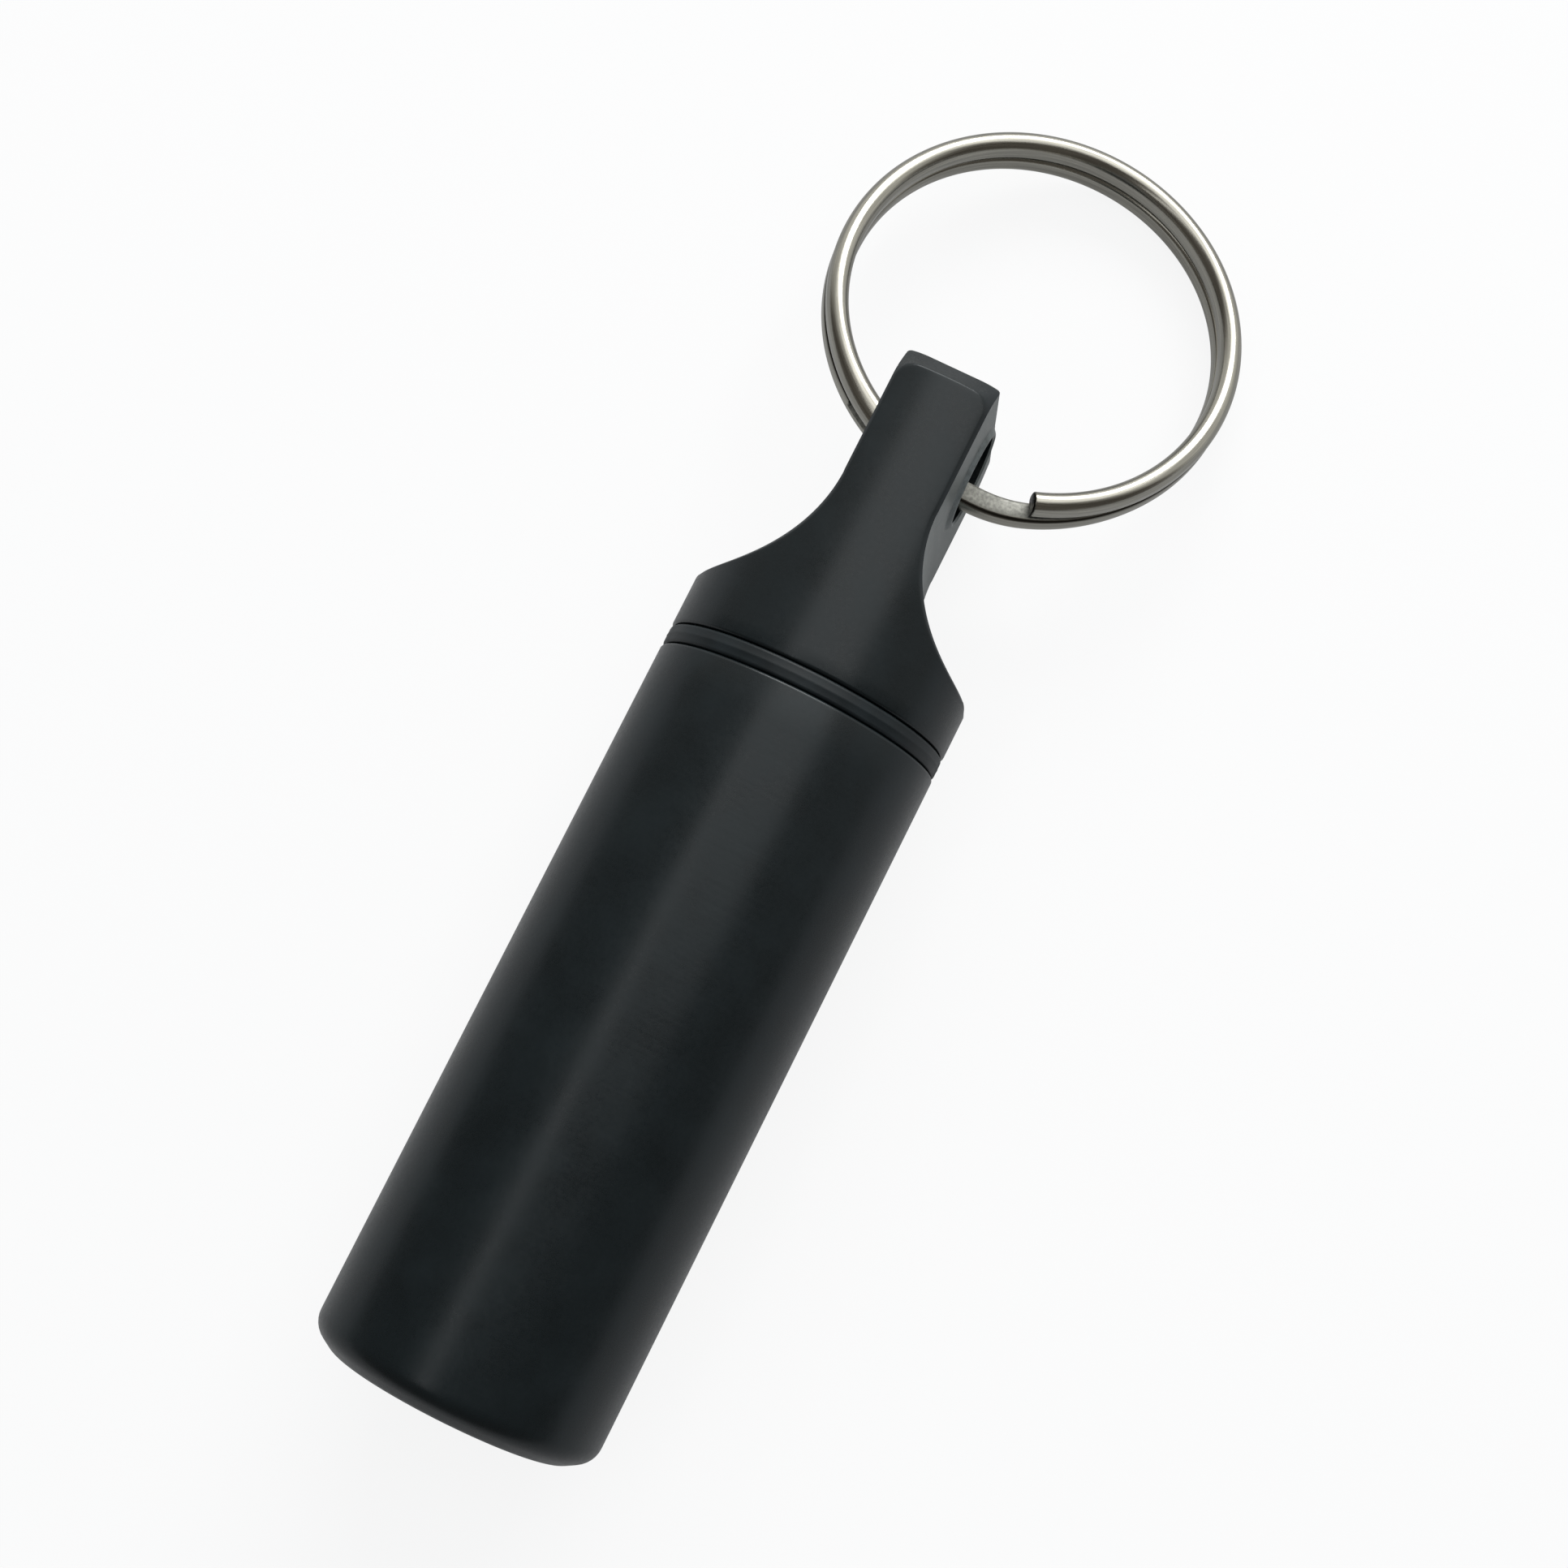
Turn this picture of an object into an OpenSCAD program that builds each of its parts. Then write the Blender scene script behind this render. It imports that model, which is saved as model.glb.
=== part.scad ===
// Keychain capsule lying on its side. X runs from the tube's base to the cap's tab, Z is up,
// and the origin is the centre of the base face. All sizes are millimetres.

/* [Tube] */
// Outer diameter of the tube and the cap
capsule_d = 17; // [15:0.5:24]
// Length of the tube from its base to its rim
tube_l = 42.5; // [25:0.5:80]
// Wall round the chamber
wall_t = 2; // [1.7:0.1:3]
// Thickness of the closed base
base_t = 2; // [1:0.25:5]
// Width across of the chamfer round the base
base_chamfer_w = 1.5; // [1.2:0.1:2.5]
// Length of the same chamfer along the tube
base_chamfer_l = 0.9; // [0.8:0.1:1.5]
// Radius that softens both edges of the base chamfer
base_soft_r = 1.4; // [0.2:0.1:1.4]
// Fillet between the chamber's wall and its floor
floor_fillet = 0.8; // [0.2:0.1:2]
// Wall left outside the mouth, which the cap screws into
rim_wall = 1.45; // [1.2:0.05:1.6]
// Depth of the mouth below the rim
mouth_depth = 7.5; // [7:0.25:12]
// Lead-in chamfer at the mouth
mouth_chamfer = 0.35; // [0.1:0.05:0.6]
// Edge break round the rim and the cap's shoulder
edge_break = 0.15; // [0.05:0.05:0.3]

/* [Seal] */
// Width of the squeezed seal along the capsule
seal_w = 1.15; // [0.8:0.05:2]
// Gap between the seal and each metal face beside it
seal_gap = 0.05; // [0.02:0.01:0.1]
// Radius of the seal's corners
seal_soft_r = 0.3; // [0.1:0.05:0.35]

/* [Cap] */
// Length of the cap outside the tube
cap_l = 18.75; // [16:0.25:26]
// Length of the plug from the cap's shoulder to its end
plug_l = 7.5; // [5:0.25:8]
// Clearance between the plug and the mouth, on the radius
thread_fit = 0.05; // [0.02:0.01:0.1]
// Length of the plain neck that the seal sits on
neck_l = 2; // [1.5:0.1:3]
// How far the neck is turned down below the plug
neck_undercut = 0.1; // [0.05:0.05:0.4]
// Chamfer round the end of the plug
plug_chamfer = 0.6; // [0.2:0.1:1]

/* [Tab] */
// Thickness of the tab between its milled sides
tab_t = 5.6; // [4:0.1:8]
// Straight length of the milled sides, up to the cap's end
tab_l = 8; // [7:0.1:10]
// Radius of the cutter that mills the two sides
cutter_r = 8; // [6.5:0.25:9]
// Length along the capsule of the bevels at the tab's end
bevel_l = 1.15; // [0.5:0.05:2]
// Depth of the same bevels towards the axis
bevel_depth = 1.8; // [0.5:0.1:3]
// Bore of the hole for the ring
hole_d = 5.4; // [4.6:0.1:5.8]
// Distance from the hole's centre to the tab's end
hole_to_end = 3.5; // [3.4:0.1:5]
// Width of the raised lip round the hole
lip_w = 0.4; // [0.2:0.05:0.6]
// Height of the lip above the tab's side
lip_h = 0.25; // [0.1:0.05:0.4]
// Bevel on both edges of the lip
lip_bevel = 0.12; // [0.05:0.01:0.18]

/* [Ring] */
// Outer diameter of the split ring
ring_d = 25; // [20:0.5:35]
// Width and height of the ring's wire
wire_d = 1.3; // [1:0.05:1.8]
// Gap between the ring's two turns
turn_gap = 0.42; // [0.41:0.01:0.8]
// Angle round the ring in which the wire crosses from one turn to the other
crossing_span = 51; // [45:1:90]
// Direction of the middle of the crossing, turned from the ring's far side
crossing_at = 178; // [172:0.1:184]
// Squareness of the wire on its flattened side, where 2 is round
flat_power = 5; // [2:0.5:8]
// Sideways lean of the ring
ring_lean = 6.1; // [0:0.1:12]
// How far the ring's centre lies to the right of the capsule's axis
ring_side = 1.73; // [-2:0.01:2]
// How far the wire lies behind the hole's centre, towards the base
wire_back = 0.5; // [0:0.05:0.6]
// How far the wire lies below the hole's centre
wire_drop = 0.9; // [0.4:0.05:1]

/* [Hidden] */
// Facets of a turned surface
turned_facets = 96;
// Steps in a softened corner
soft_steps = 5;
// Sides of the wire and steps along it, in degrees
wire_sides = 16;
wire_step = 7.5;
// How far a cut runs past the surface it opens
overrun = 1;
// Steepest droop of the ring, and the halvings in the search for it
steepest_droop = 60;
droop_rounds = 30;

capsule_r = capsule_d / 2;
chamber_r = capsule_r - wall_t;
mouth_r = capsule_r - rim_wall;
shoulder_x = tube_l + seal_w + 2 * seal_gap;
end_x = shoulder_x + cap_l;
plug_r = mouth_r - thread_fit;
neck_r = plug_r - neck_undercut;
hole_x = end_x - hole_to_end;
cutter_x = end_x - tab_l;

ring_r = (ring_d - wire_d) / 2;
turn_half = (wire_d + turn_gap) / 2;
turn_span = 360 - crossing_span;
wire_span = 2 * turn_span + crossing_span;
wire_start = crossing_at + crossing_span / 2;

// Points of an outline whose corners are rounded: each corner b between a and c has its own radius
function unit(v) = v / norm(v);
function turn_of(p, q) = atan2(p.x * q.y - p.y * q.x, p * q);
function soft_corner(a, b, c, r) =
    let (u = unit(a - b), w = unit(c - b), half = acos(u * w) / 2)
    let (centre = b + unit(u + w) * r / sin(half), from = b + u * r / tan(half) - centre)
    let (sweep = turn_of(from, b + w * r / tan(half) - centre), start = atan2(from.y, from.x))
    r == 0 ? [b] : [for (i = [0 : soft_steps])
        centre + r * [cos(start + sweep * i / soft_steps), sin(start + sweep * i / soft_steps)]];
function softened(points, radii) =
    let (n = len(points))
    [for (i = [0 : n - 1])
        let (before = points[(i + n - 1) % n], after = points[(i + 1) % n])
        each soft_corner(before, points[i], after, radii[i])];

// Turns an outline of [radius, place along the capsule] round the capsule's axis
module turned(outline) {
    rotate([0, 90, 0])
        rotate_extrude($fn = turned_facets)
            polygon(outline);
}

// Tube: closed at the base, bored for the chamber, with a wider mouth for the cap's plug
module body_tube() {
    corners = [
        [0, 0],
        [capsule_r - base_chamfer_w, 0],
        [capsule_r, base_chamfer_l],
        [capsule_r, tube_l],
        [mouth_r + mouth_chamfer, tube_l],
        [mouth_r, tube_l - mouth_chamfer],
        [mouth_r, tube_l - mouth_depth],
        [chamber_r, tube_l - mouth_depth],
        [chamber_r, base_t],
        [0, base_t]
    ];
    radii = [0, base_soft_r, base_soft_r, edge_break, 0, 0, 0, 0, floor_fillet, 0];
    color("#22272a")
        turned(softened(corners, radii));
}

// Seal: an O-ring on the cap's neck, squeezed between the tube's rim and the cap's shoulder
module seal_ring() {
    near_x = tube_l + seal_gap;
    far_x = near_x + seal_w;
    inner_r = neck_r + seal_gap;
    corners = [[inner_r, near_x], [capsule_r, near_x], [capsule_r, far_x], [inner_r, far_x]];
    color("#2b2f31")
        turned(softened(corners, [for (corner = corners) seal_soft_r]));
}

// The cap before milling: plug, neck and shoulder, then a plain bar
module cap_blank() {
    corners = [
        [0, shoulder_x - plug_l],
        [plug_r - plug_chamfer, shoulder_x - plug_l],
        [plug_r, shoulder_x - plug_l + plug_chamfer],
        [plug_r, shoulder_x - neck_l],
        [neck_r, shoulder_x - neck_l],
        [neck_r, shoulder_x],
        [capsule_r, shoulder_x],
        [capsule_r, end_x],
        [0, end_x]
    ];
    radii = [0, 0, 0, 0, 0, 0, edge_break, 0, 0];
    turned(softened(corners, radii));
}

// What the cutter takes from one side: a round end where it plunges, then a straight pass to the end
module milled_side() {
    run = end_x - cutter_x + overrun;
    cut_y = tab_t / 2;
    translate([0, 0, -capsule_r - overrun])
        linear_extrude(2 * (capsule_r + overrun))
            union() {
                translate([cutter_x, cut_y + cutter_r])
                    circle(r = cutter_r, $fn = turned_facets);
                translate([cutter_x, cut_y])
                    square([run, 2 * cutter_r]);
            }
}

// What is milled off one edge of the tab's end
module end_bevel() {
    top = [end_x - bevel_l, capsule_r];
    low = [end_x, capsule_r - bevel_depth];
    past = overrun * unit(low - top);
    rotate([90, 0, 0])
        linear_extrude(2 * (capsule_r + overrun), center = true)
            polygon([top - past, low + past, [end_x + overrun, capsule_r + overrun]]);
}

// Turns an outline of [radius, place along the hole] round the hole's axis
module round_the_hole(outline) {
    translate([hole_x, 0, 0])
        rotate([90, 0, 0])
            rotate_extrude($fn = turned_facets)
                polygon(outline);
}

// The lips' outside: one barrel that stands proud of both sides of the tab
module hole_lips() {
    lip_r = hole_d / 2 + lip_w;
    lip_y = tab_t / 2 + lip_h;
    round_the_hole([
        [0, -lip_y],
        [lip_r - lip_bevel, -lip_y],
        [lip_r, lip_bevel - lip_y],
        [lip_r, lip_y - lip_bevel],
        [lip_r - lip_bevel, lip_y],
        [0, lip_y]
    ]);
}

// The hole itself, bevelled at both ends
module hole_cut() {
    bore_r = hole_d / 2;
    lip_y = tab_t / 2 + lip_h;
    round_the_hole([
        [0, -lip_y - overrun],
        [bore_r + lip_bevel, -lip_y - overrun],
        [bore_r + lip_bevel, -lip_y],
        [bore_r, lip_bevel - lip_y],
        [bore_r, lip_y - lip_bevel],
        [bore_r + lip_bevel, lip_y],
        [bore_r + lip_bevel, lip_y + overrun],
        [0, lip_y + overrun]
    ]);
}

// Cap: turned from bar, milled to a tab from both sides, bevelled and drilled across for the ring
module cap() {
    color("#262b2e")
        difference() {
            union() {
                difference() {
                    cap_blank();
                    milled_side();
                    mirror([0, 1, 0])
                        milled_side();
                    end_bevel();
                    mirror([0, 0, 1])
                        end_bevel();
                }
                hole_lips();
            }
            hole_cut();
        }
}

// How far the wire has crossed over, from 1 on the upper turn to -1 on the lower turn
function crossing(t) = t <= turn_span ? 1 : t >= turn_span + crossing_span ? -1
    : cos(180 * (t - turn_span) / crossing_span);
// Squareness of the side that faces the other turn, which fades out through the crossing
function squareness(share) = 2 + (flat_power - 2) * max(0, share);
function section_share(a, power) = pow(pow(abs(cos(a)), power) + pow(abs(sin(a)), power), -1 / power);
function section_point(a, c) =
    wire_d / 2 * section_share(a, squareness(a > 180 ? c : -c)) * [cos(a), sin(a)];
// One ring of points round the wire, t degrees along it from its upper end
function wire_ring(t) =
    [for (k = [0 : wire_sides - 1])
        let (p = section_point(k * 360 / wire_sides, crossing(t)), a = wire_start + t)
        [(ring_r + p.x) * cos(a), (ring_r + p.x) * sin(a), turn_half * crossing(t) + p.y]];

wire_places = concat([for (k = [0 : ceil(wire_span / wire_step) - 1]) k * wire_step], [wire_span]);
wire_rings = [for (t = wire_places) wire_ring(t)];
last_ring = len(wire_rings) - 1;

// Least gap between two stretches of wire more than half a turn apart
rings_apart = round(180 / wire_step);
least_gap = min([for (i = [0 : last_ring - rings_apart], j = [i + rings_apart : last_ring])
    min([for (p = wire_rings[i], q = wire_rings[j]) norm(p - q)])]);
echo(least_gap_of_ring = least_gap);

// The ring droops from the hole until its far side rests on the surface under the capsule
function ring_low(droop) =
    let (level = cos(ring_lean) * cos(droop), steep = sqrt(1 - level * level))
    -wire_drop - ring_r * (sin(droop) + steep) - turn_half * level - wire_d / 2;
function find_droop(low, high, rounds) =
    let (middle = (low + high) / 2)
    rounds <= 0 ? middle
        : ring_low(middle) > -capsule_r ? find_droop(middle, high, rounds - 1)
        : find_droop(low, middle, rounds - 1);
ring_droop = find_droop(0, steepest_droop, droop_rounds);
wire_x = hole_x - wire_back;
ring_centre = [wire_x + ring_r * cos(ring_droop), -ring_side, -wire_drop - ring_r * sin(ring_droop)];

// Split ring: one wire wound twice, with a cut end at each side of the crossing
module split_ring() {
    n = wire_sides;
    walls = [for (i = [0 : last_ring - 1], k = [0 : n - 1])
        let (a = i * n + k, b = i * n + (k + 1) % n)
        each [[a, b + n, a + n], [a, b, b + n]]];
    first_end = [for (k = [1 : n - 2]) [0, k + 1, k]];
    last_end = [for (face = first_end) [for (k = [0, 2, 1]) last_ring * n + face[k]]];
    skin = [for (ring = wire_rings) each ring];
    color("#9a988c")
        translate(ring_centre)
            rotate([ring_lean, ring_droop, 0])
                polyhedron(points = skin, faces = concat(walls, first_end, last_end));
}

body_tube();
cap();
seal_ring();
split_ring();
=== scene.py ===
"""Looks of a keychain capsule: black anodised tube and cap, rubber seal, nickel-plated split ring."""
from math import acos, asin, ceil, cos, hypot, pi, radians, sin, sqrt

import bmesh
import bpy
from bpy.props import FloatProperty, FloatVectorProperty, IntProperty, PointerProperty
from mathutils import Matrix, Vector


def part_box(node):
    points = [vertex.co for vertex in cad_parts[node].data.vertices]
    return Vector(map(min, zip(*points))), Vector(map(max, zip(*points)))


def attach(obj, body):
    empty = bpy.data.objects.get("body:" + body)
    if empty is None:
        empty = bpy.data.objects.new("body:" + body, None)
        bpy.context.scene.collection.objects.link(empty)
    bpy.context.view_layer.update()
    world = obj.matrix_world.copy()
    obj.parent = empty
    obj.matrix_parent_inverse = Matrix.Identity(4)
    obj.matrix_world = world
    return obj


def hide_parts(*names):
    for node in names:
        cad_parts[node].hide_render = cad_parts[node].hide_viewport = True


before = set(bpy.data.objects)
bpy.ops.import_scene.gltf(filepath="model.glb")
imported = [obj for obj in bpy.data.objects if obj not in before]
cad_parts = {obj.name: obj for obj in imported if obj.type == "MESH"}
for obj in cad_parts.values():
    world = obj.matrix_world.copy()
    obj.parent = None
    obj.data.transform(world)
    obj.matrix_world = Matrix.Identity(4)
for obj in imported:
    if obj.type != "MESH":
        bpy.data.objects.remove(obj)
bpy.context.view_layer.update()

bl_info = {
    "name": "Keychain Capsule",
    "version": (1, 0, 0),
    "blender": (4, 5, 0),
    "location": "3D View > Sidebar > Capsule",
    "description": "Builds a screw-top capsule with a drilled tab and a wound split ring",
    "category": "Add Mesh",
}

MM = 0.001
# Least length, so that a point on the axis still makes a ring, which clean() merges
LEAST = 1e-9
# Points round the turned parts, and steps across each milled side of the tab
AROUND = 128
SIDE_STEPS = 24
# Millimetres in from each edge of the tab's front face at which it gets lines of points
NEAR_EDGE = (0, 0.05, 0.1, 0.15, 0.2, 0.24, 0.28, 0.33, 0.4, 0.5, 0.62, 0.76, 0.92, 1.1, 1.3)
# How far a face of the lip stands out of the milled side at least, and how far inside that side
# a face still counts as milled
LIP_MARGIN = 0.003 * MM
SIDE_MARGIN = 0.02 * MM
# Most that a milled face leans towards the front or the back
SIDE_LEAN = 0.35
# Spans that nearly all values of a noise keep to
NOISE_SPAN = {"From Min": 0.3, "From Max": 0.7}
NARROW_SPAN = {"From Min": 0.35, "From Max": 0.65}
TUBE_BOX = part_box("body_tube")
CAP_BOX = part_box("cap")


def length(name, description, millimetres):
    """A length shown in the scene's units, with its default in millimetres."""
    return FloatProperty(
        name=name, description=description, default=millimetres * MM,
        unit="LENGTH", subtype="DISTANCE", precision=5,
    )


def angle(name, description, degrees):
    """An angle with its default in degrees."""
    return FloatProperty(
        name=name, description=description, default=radians(degrees), unit="ROTATION", subtype="ANGLE",
    )


def linear(code):
    """An sRGB hex colour such as 9a988c as linear red, green, blue and 1."""
    channels = [int(code[i : i + 2], 16) / 255 for i in (0, 2, 4)]
    return tuple(c / 12.92 if c <= 0.04045 else ((c + 0.055) / 1.055) ** 2.4 for c in channels) + (1.0,)


def colour(name, description, code):
    """A colour swatch with its default as an sRGB hex value."""
    return FloatVectorProperty(
        name=name, description=description, default=linear(code), size=4, min=0, max=1, subtype="COLOR",
    )


# Sizes and colours


class CapsuleTube(bpy.types.PropertyGroup):
    """Turned tube that holds the contents"""

    diameter: length("Diameter", "Outer diameter of the tube and the cap", 17)
    tube_l: length("Length", "From the base to the rim", 42.5)
    wall: length("Wall", "Wall round the chamber", 2)
    floor: length("Floor", "Thickness of the closed base", 2)
    base_chamfer_w: length("Base chamfer width", "Width across of the chamfer round the base", 1.5)
    base_chamfer_l: length("Base chamfer length", "Length along the tube of the same chamfer", 0.9)
    base_soft: length("Base rounding", "Radius on both edges of the base chamfer", 1.4)
    base_dish: length("Base dish", "Depth of the shallow dish turned in the base", 0.15)
    fillet: length("Chamber fillet", "Between the chamber's wall and its floor", 0.8)
    rim_wall: length("Rim wall", "Wall left outside the mouth", 1.45)
    mouth_depth: length("Mouth depth", "Depth of the threaded mouth", 7.5)
    edge: length("Edge break", "Rounding of the rim's outer edge", 0.2)
    thread_root: length("Thread root", "How far the inside thread is cut into the mouth's wall", 0.35)
    thread_crest: length("Thread crest", "How far its crests stand in from the mouth's wall", 0.1)
    colour: colour("Anodising", "Black dyed anodising", "161e21")


class CapsuleSeal(bpy.types.PropertyGroup):
    """O-ring squeezed between the rim and the cap"""

    width: length("Width", "Along the capsule, squeezed", 1.15)
    gap: length("Gap", "Shadow gap on each side of the seal", 0.05)
    corner: length("Corner", "Radius of the squeezed ring's corners", 0.2)
    flash: length("Mould line", "Height of the mould's parting line", 0.02)
    colour: colour("Rubber", "Black nitrile rubber", "171e21")


class CapsuleCap(bpy.types.PropertyGroup):
    """Screw cap milled to a tab"""

    cap_l: length("Length", "Length outside the tube", 18.75)
    plug_l: length("Plug", "From the shoulder to the plug's end", 7.5)
    plug_chamfer: length("Plug chamfer", "Round the plug's end", 0.6)
    neck_l: length("Neck", "Plain neck that the seal sits on", 2)
    neck_r: length("Neck radius", "Radius of the plain neck", 6.9)
    thread_root: length("Thread root radius", "Radius at the bottom of the cap's thread", 6.78)
    thread_crest: length("Thread crest radius", "Radius over the cap's thread", 7.2)
    pitch: length("Pitch", "Advance in one turn", 1)
    tab_t: length("Tab", "Thickness between the milled sides", 5.6)
    tab_l: length("Straight", "Straight length of the milled sides", 8)
    cutter_r: length("Cutter", "Radius of the cutter that mills the sides", 8)
    bevel_l: length("Bevel length", "Along the capsule, at the tab's end", 1.15)
    bevel_depth: length("Bevel depth", "Towards the axis, at the tab's end", 1.8)
    corner_r: length("Corner", "Radius of the front face's corners beside the bevel", 0.95)
    start_soft: length("Side start", "Softness of the corners where the milled sides begin", 0.6)
    side_edge: length("Side edge", "Width of the edge break along the milled sides", 0.18)
    end_soft: length("End rounding", "Radius on the upright edges of the tab's end", 0.3)
    hole_d: length("Hole", "Bore of the hole for the ring", 5.4)
    hole_to_end: length("Hole to end", "From the hole's centre to the tab's end", 3.5)
    lip_w: length("Lip width", "Width of the raised lip round the hole", 0.4)
    lip_h: length("Lip height", "Height of the lip above the milled side", 0.25)
    lip_fade: length("Lip fade", "How far beyond the lip its slope reaches", 0.25)
    lip_bevel: length("Lip bevel", "Bevel on both edges of the lip", 0.12)
    colour: colour("Anodising", "Black dyed anodising", "141c1f")
    # Painted sheen: a mid grey on the black anodising, for the glancing light on the milled sides
    side_colour_with_painted_sheen: colour("Milled sides", "Black anodising on the milled sides", "686e6e")


class CapsuleRing(bpy.types.PropertyGroup):
    """Split ring wound from one wire"""

    ring_d: length("Diameter", "Outer diameter of the ring", 25)
    wire_w: length("Wire width", "Width of the wire across the ring", 1.3)
    wire_h: length("Wire height", "Height of the wire along the ring's axis", 1.46)
    turn_gap: length("Turn gap", "Gap between the two turns", 0.08)
    crossing_span: angle("Crossing", "Angle in which the wire changes turn", 51)
    crossing_at: angle("Crossing place", "Direction of the middle of the crossing", 178)
    joggle: length("Joggle", "How far the pressed crossing spreads outwards", 0.34)
    joggle_span: angle("Joggle span", "Angle over which the spread fades out", 120)
    inset: length("Inset", "How much the lower turn's inner side gives way under the upper end", 0.2)
    inset_span: angle("Inset span", "Angle to each side over which that fades out", 36)
    overlap: angle("Overlap", "How far the lower end runs on past the upper turn", 2)
    ground_span: angle("Ground end", "Length of the slope ground on the lower end", 10)
    ground_height: length("Ground height", "From the wire's middle to that slope", 0.45)
    flat_power: FloatProperty(
        name="Squareness", description="Squareness of the side that faces the other turn", default=4.5,
    )
    end_soft: length("End rounding", "Rounding round the cut ends", 0.14)
    lean: angle("Lean", "Sideways lean of the ring", 6.1)
    droop: angle("Droop", "Droop from the hole down to the surface", 14.3614)
    centre: FloatVectorProperty(
        name="Centre", description="Middle of the ring", default=(0.0699797, -0.00173, -0.0038393),
        subtype="TRANSLATION", unit="LENGTH",
    )
    steps: IntProperty(name="Steps", description="Steps along the wire", default=900)
    sides: IntProperty(name="Sides", description="Sides round the wire", default=64)
    colour: colour("Nickel", "Bright nickel plating", "aba9a0")


class CapsuleStage(bpy.types.PropertyGroup):
    """Floor, lights and camera"""

    camera_at: FloatVectorProperty(
        name="Camera", description="Where the camera stands", default=(0.019533, -0.016453, 0.149431),
        subtype="TRANSLATION", unit="LENGTH",
    )
    lens: FloatProperty(name="Lens", description="Focal length on a 36 mm sensor, in mm", default=62.09)
    floor: colour("Floor", "Plain pale floor", "c6c6c6")
    floor_seen: colour("Floor seen", "The same floor as the camera sees it, white in the photo", "ffffff")


# Mesh helpers


def join_rings(rings, closed_end=False):
    """Points and faces that join rings with as many points each into one skin. A closed end
    gets a face over the last ring."""
    count = len(rings[0])
    points = [point for ring in rings for point in ring]
    faces = []
    for i in range(len(rings) - 1):
        a, b = i * count, (i + 1) * count
        for k in range(count):
            n = (k + 1) % count
            faces.append((a + k, a + n, b + n, b + k))
    if closed_end:
        faces.append(tuple(range(len(points) - count, len(points))))
    return points, faces


def make_piece(name, points, faces, sharp=30):
    """A mesh object from points and faces, cleaned, with edges over sharp degrees kept sharp."""
    mesh = bpy.data.meshes.new(name)
    mesh.from_pydata(points, [], faces)
    piece = bpy.data.objects.new(name, mesh)
    bpy.context.scene.collection.objects.link(piece)
    clean(mesh)
    smooth(mesh, sharp)
    return piece


def clean(mesh, merge=1e-7):
    """Merges doubles, drops empty faces and turns the skin outwards."""
    work = bmesh.new()
    work.from_mesh(mesh)
    bmesh.ops.remove_doubles(work, verts=work.verts, dist=merge)
    bmesh.ops.dissolve_degenerate(work, dist=merge, edges=work.edges)
    bmesh.ops.recalc_face_normals(work, faces=work.faces)
    work.to_mesh(mesh)
    work.free()
    mesh.update()


def smooth(mesh, sharp):
    """Smooth shading with edges over a number of degrees kept sharp."""
    mesh.shade_smooth()
    mesh.set_sharp_from_angle(angle=radians(sharp))


def baked(piece, name):
    """The piece with its modifiers turned into plain mesh, under a new name."""
    graph = bpy.context.evaluated_depsgraph_get()
    mesh = bpy.data.meshes.new_from_object(piece.evaluated_get(graph))
    plain = bpy.data.objects.new(name, mesh)
    bpy.context.scene.collection.objects.link(plain)
    bpy.data.objects.remove(piece)
    return plain


def rounded(outline, radii, steps=6):
    """An open outline of (radius, x) points with each corner rounded by its own radius."""
    soft = []
    for i, (here, r) in enumerate(zip(outline, radii)):
        if not r or i in (0, len(outline) - 1):
            soft.append(tuple(here))
            continue
        b = Vector(here)
        u = (Vector(outline[i - 1]) - b).normalized()
        w = (Vector(outline[i + 1]) - b).normalized()
        half = acos(max(-1, min(1, u.dot(w)))) / 2
        centre = b + (u + w).normalized() * r / sin(half)
        start = b + u * r / (sin(half) / cos(half)) - centre
        end = b + w * r / (sin(half) / cos(half)) - centre
        sweep = start.angle_signed(end)
        for k in range(steps + 1):
            turned = Matrix.Rotation(-sweep * k / steps, 2) @ start
            soft.append(tuple(centre + turned))
    return soft


def turned(outline):
    """Rings of points for an outline of (radius, x) turned round the capsule's axis."""
    rings = []
    for r, x in outline:
        r = max(r, LEAST)
        turn = [2 * pi * k / AROUND for k in range(AROUND)]
        rings.append([(x, r * cos(a), r * sin(a)) for a in turn])
    return rings


def evenly(start, end, step):
    """Numbers from start to end, both included, no further apart than step."""
    count = max(1, ceil(abs(end - start) / step))
    return [start + (end - start) * i / count for i in range(count + 1)]


def divided(outline, step, shortest=0):
    """The outline with points added on its lines over the shortest, no further apart than step."""
    dense = []
    for a, b in zip(outline, outline[1:]):
        run = hypot(b[0] - a[0], b[1] - a[1])
        shares = evenly(0, 1, step / run if run > shortest else 1)
        dense += [tuple(Vector(a).lerp(Vector(b), t)) for t in shares[:-1]]
    return dense + [outline[-1]]


# Node helpers


def add_node(tree, kind, settings=None, inputs=None):
    """Adds a node, sets its properties, and sets or links its inputs by name or number."""
    node = tree.nodes.new(kind)
    for key, value in (settings or {}).items():
        setattr(node, key, value)
    for key, value in (inputs or {}).items():
        if isinstance(value, bpy.types.NodeSocket):
            tree.links.new(value, node.inputs[key])
        else:
            node.inputs[key].default_value = value
    return node


def new_material(name):
    """An empty material and its shader node, which keeps the plain values."""
    material = bpy.data.materials.new(name)
    material.use_nodes = True
    tree = material.node_tree
    tree.nodes.clear()
    shader = add_node(tree, "ShaderNodeBsdfPrincipled")
    add_node(tree, "ShaderNodeOutputMaterial", inputs={"Surface": shader.outputs["BSDF"]})
    return material, tree, shader


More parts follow.
